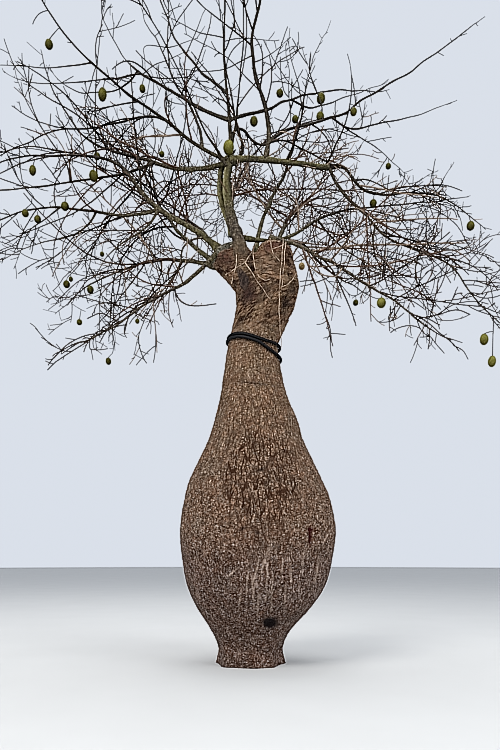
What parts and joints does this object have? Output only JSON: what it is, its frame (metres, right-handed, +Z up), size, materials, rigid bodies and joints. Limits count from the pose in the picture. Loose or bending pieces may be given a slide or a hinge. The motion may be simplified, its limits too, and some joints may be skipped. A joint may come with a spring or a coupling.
{
  "type": "silk floss tree",
  "caption": "Bare silk floss tree: bottle-shaped trunk on a flat cut, two short cut limbs, slim arching boughs and open sprays of twigs with green pods.",
  "frame": {"origin": "middle of the flat cut under the trunk, at ground level", "axes": "+Z up the trunk, -Y towards the side the picture shows, +X to that view's right"},
  "size_m": [8.08, 6.3308, 10.4484],
  "materials": {
    "bark": "deeply fissured matt bark, grey-brown plates over near-black cracks",
    "bough_bark": "thin matt bark, olive green to grey-brown",
    "twig_spray": "matt twig bark; also stands for the light, open sprays",
    "pods": "smooth satin green skin of the seed pods",
    "hose": "black, slightly glossy"
  },
  "bodies": {
    "root": {"trunk": "bark", "cut_limb_left": "bark", "cut_limb_right": "bark", "neck_hose": "hose", "spray_centre": "twig_spray", "spray_drop_right": "twig_spray", "spray_limb_left": "twig_spray", "spray_long_left": "twig_spray", "spray_upper_left": "twig_spray", "spray_rising_left": "twig_spray", "spray_steep_left": "twig_spray", "spray_rising_right": "twig_spray", "spray_long_right": "twig_spray", "spray_mid_right": "twig_spray", "spray_tip_right": "twig_spray", "spray_spread_right": "twig_spray", "spray_green_right": "twig_spray", "spray_low_right": "twig_spray", "spray_green_left": "twig_spray", "spray_crook_left": "twig_spray", "spray_level_left": "twig_spray", "spray_falling_left": "twig_spray", "spray_fan_left": "twig_spray", "spray_back_left": "twig_spray", "spray_back_middle": "twig_spray", "spray_back_right": "twig_spray", "spray_back_low_left": "twig_spray", "spray_front_middle": "twig_spray", "spray_front_left": "twig_spray", "spray_front_right": "twig_spray", "spray_front_low_left": "twig_spray", "bough_centre": "bough_bark", "bough_arch_right": "bough_bark", "bough_drop_right": "bough_bark", "bough_limb_left": "bough_bark", "bough_long_left": "bough_bark", "bough_upper_left": "bough_bark", "bough_rising_left": "bough_bark", "bough_steep_left": "bough_bark", "bough_rising_right": "bough_bark", "bough_long_right": "bough_bark", "bough_mid_right": "bough_bark", "bough_tip_right": "bough_bark", "bough_spread_right": "bough_bark", "bough_green_right": "bough_bark", "bough_low_right": "bough_bark", "bough_green_left": "bough_bark", "bough_crook_left": "bough_bark", "bough_level_left": "bough_bark", "bough_falling_left": "bough_bark", "bough_fan_left": "bough_bark", "bough_back_left": "bough_bark", "bough_back_middle": "bough_bark", "bough_back_right": "bough_bark", "bough_back_low_left": "bough_bark", "bough_front_middle": "bough_bark", "bough_front_left": "bough_bark", "bough_front_right": "bough_bark", "bough_front_low_left": "bough_bark"}
  },
  "joints": []
}
